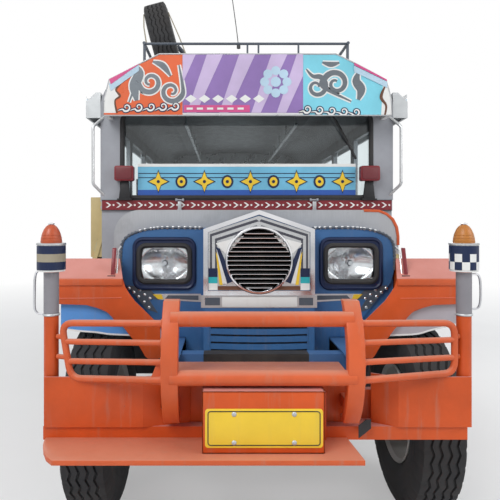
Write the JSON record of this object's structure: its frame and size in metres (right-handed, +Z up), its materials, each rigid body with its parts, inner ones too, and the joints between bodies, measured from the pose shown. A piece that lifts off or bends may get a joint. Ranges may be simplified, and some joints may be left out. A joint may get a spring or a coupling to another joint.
{
  "type": "jeepney",
  "caption": "Long open-sided passenger jeepney with visor board, bull bar, roof rack and rear entrance; front wheels steer, hood and half doors open.",
  "frame": {"origin": "middle of the footprint, on the ground under the tyres", "axes": "+Z up, -Y towards the front bumper, +X towards the driver's side"},
  "size_m": [1.98, 6.15, 2.8946],
  "materials": {
    "bench_cushions": "vinyl",
    "benches": "satin",
    "body_sides": "gloss",
    "bull_bar": "brushed-on gloss, worn",
    "bumper_beam": "brushed-on gloss, worn",
    "bumper_lip": "brushed-on gloss, worn",
    "bumper_panels": "brushed-on gloss, worn",
    "ceiling_rails": "polished",
    "chassis_frame": "satin black",
    "corner_posts": "brushed-on gloss, worn",
    "cowl": "satin",
    "cross_members": "satin black",
    "door": "gloss",
    "drive_shaft": "satin black",
    "engine": "cast",
    "exhaust": "heat stained",
    "floor": "worn plate",
    "front_axle": "satin black",
    "front_fenders": "brushed-on gloss, worn",
    "front_seat_base": "satin",
    "front_seat_cushions": "vinyl",
    "fuel_tank": "satin black",
    "grab_loops": "polished",
    "grille_frame": "polished",
    "grille_shell": "gloss",
    "headlamp_bezels": "gloss",
    "headlamps": "ribbed",
    "hood": "brushed",
    "knuckle": "cast",
    "leaf_springs": "satin black",
    "lower_louvres": "gloss",
    "medallion": "polished",
    "post_lamps": "moulded lens",
    "rear_axle": "satin black",
    "rear_frame": "gloss",
    "rear_step": "tread plate",
    "roof": "galvanised sheet",
    "roof_rack": "satin",
    "side_eaves": "gloss",
    "steering_wheel": "moulded",
    "tail_lamps": "moulded lens",
    "tie_rod": "satin black",
    "tyre": "road worn",
    "visor": "gloss",
    "wheel": "satin",
    "wheel_wells": "gloss",
    "windscreen_board": "gloss",
    "windscreen_frame": "satin",
    "windscreen_glass": "clear"
  },
  "bodies": {
    "body": {"bench_cushions": "bench_cushions", "benches": "benches", "body_sides": "body_sides", "bull_bar": "bull_bar", "bumper_beam": "bumper_beam", "bumper_lip": "bumper_lip", "bumper_panels": "bumper_panels", "ceiling_rails": "ceiling_rails", "chassis_frame": "chassis_frame", "corner_posts": "corner_posts", "cowl": "cowl", "cross_members": "cross_members", "drive_shaft": "drive_shaft", "engine": "engine", "exhaust": "exhaust", "floor": "floor", "front_axle": "front_axle", "front_fenders": "front_fenders", "front_seat_base": "front_seat_base", "front_seat_cushions": "front_seat_cushions", "fuel_tank": "fuel_tank", "grab_loops": "grab_loops", "grille_frame": "grille_frame", "grille_shell": "grille_shell", "headlamp_bezels": "headlamp_bezels", "headlamps": "headlamps", "leaf_springs": "leaf_springs", "lower_louvres": "lower_louvres", "medallion": "medallion", "post_lamps": "post_lamps", "rear_axle": "rear_axle", "rear_frame": "rear_frame", "rear_step": "rear_step", "roof": "roof", "roof_rack": "roof_rack", "side_eaves": "side_eaves", "spare_tyre": "tyre", "spare_wheel": "wheel", "tail_lamps": "tail_lamps", "visor": "visor", "wheel_wells": "wheel_wells", "windscreen_board": "windscreen_board", "windscreen_frame": "windscreen_frame", "windscreen_glass": "windscreen_glass"},
    "knuckle_left": {"knuckle_left": "knuckle"},
    "knuckle_right": {"knuckle_right": "knuckle"},
    "tie_rod": {"tie_rod": "tie_rod"},
    "steering_wheel": {"steering_wheel": "steering_wheel"},
    "hood": {"hood": "hood"},
    "door_left": {"door_left": "door"},
    "door_right": {"door_right": "door"},
    "wheel_front_left": {"wheel_front_left": "wheel", "tyre_front_left": "tyre"},
    "wheel_front_right": {"wheel_front_right": "wheel", "tyre_front_right": "tyre"},
    "wheel_rear_left": {"wheel_rear_left": "wheel", "tyre_rear_left": "tyre"},
    "wheel_rear_right": {"wheel_rear_right": "wheel", "tyre_rear_right": "tyre"}
  },
  "joints": [
    {"name": "steer_left", "type": "hinge", "parent": "body", "child": "knuckle_left", "pos_m": [0.56, -2.355, 0.3625], "axis": [0, 0, 1], "range_deg": [-30, 30]},
    {"name": "steer_right", "type": "hinge", "parent": "body", "child": "knuckle_right", "pos_m": [-0.56, -2.355, 0.3625], "axis": [0, 0, 1], "range_deg": [-30, 30]},
    {"name": "tie_rod_pivot", "type": "hinge", "parent": "knuckle_left", "child": "tie_rod", "pos_m": [0.56, -2.225, 0.294], "axis": [0, 0, 1], "range_deg": [-30, 30]},
    {"name": "steering_wheel_turn", "type": "hinge", "parent": "body", "child": "steering_wheel", "pos_m": [0.4, -0.96, 1.204], "axis": [0, 0.8403, 0.5422], "range_deg": [-360, 360]},
    {"name": "hood_hinge", "type": "hinge", "parent": "body", "child": "hood", "pos_m": [0, -1.316, 1.294], "axis": [-1, 0, 0], "range_deg": [0, 55]},
    {"name": "door_left_hinge", "type": "hinge", "parent": "body", "child": "door_left", "pos_m": [0.913, -1.196, 1], "axis": [0, 0, -1], "range_deg": [0, 70]},
    {"name": "door_right_hinge", "type": "hinge", "parent": "body", "child": "door_right", "pos_m": [-0.913, -1.196, 1], "axis": [0, 0, 1], "range_deg": [0, 70]},
    {"name": "spin_front_left", "type": "hinge", "parent": "knuckle_left", "child": "wheel_front_left", "pos_m": [0.65, -2.355, 0.3625], "axis": [1, 0, 0], "continuous": true},
    {"name": "spin_front_right", "type": "hinge", "parent": "knuckle_right", "child": "wheel_front_right", "pos_m": [-0.65, -2.355, 0.3625], "axis": [1, 0, 0], "continuous": true},
    {"name": "spin_rear_left", "type": "hinge", "parent": "body", "child": "wheel_rear_left", "pos_m": [0.656, 1.345, 0.3625], "axis": [1, 0, 0], "continuous": true},
    {"name": "spin_rear_right", "type": "hinge", "parent": "body", "child": "wheel_rear_right", "pos_m": [-0.656, 1.345, 0.3625], "axis": [1, 0, 0], "continuous": true}
  ],
  "couplings": [
    {"joint": "steer_right", "follows": "steer_left", "ratio": 1},
    {"joint": "tie_rod_pivot", "follows": "steer_left", "ratio": -1},
    {"joint": "steering_wheel_turn", "follows": "steer_left", "ratio": 12}
  ]
}
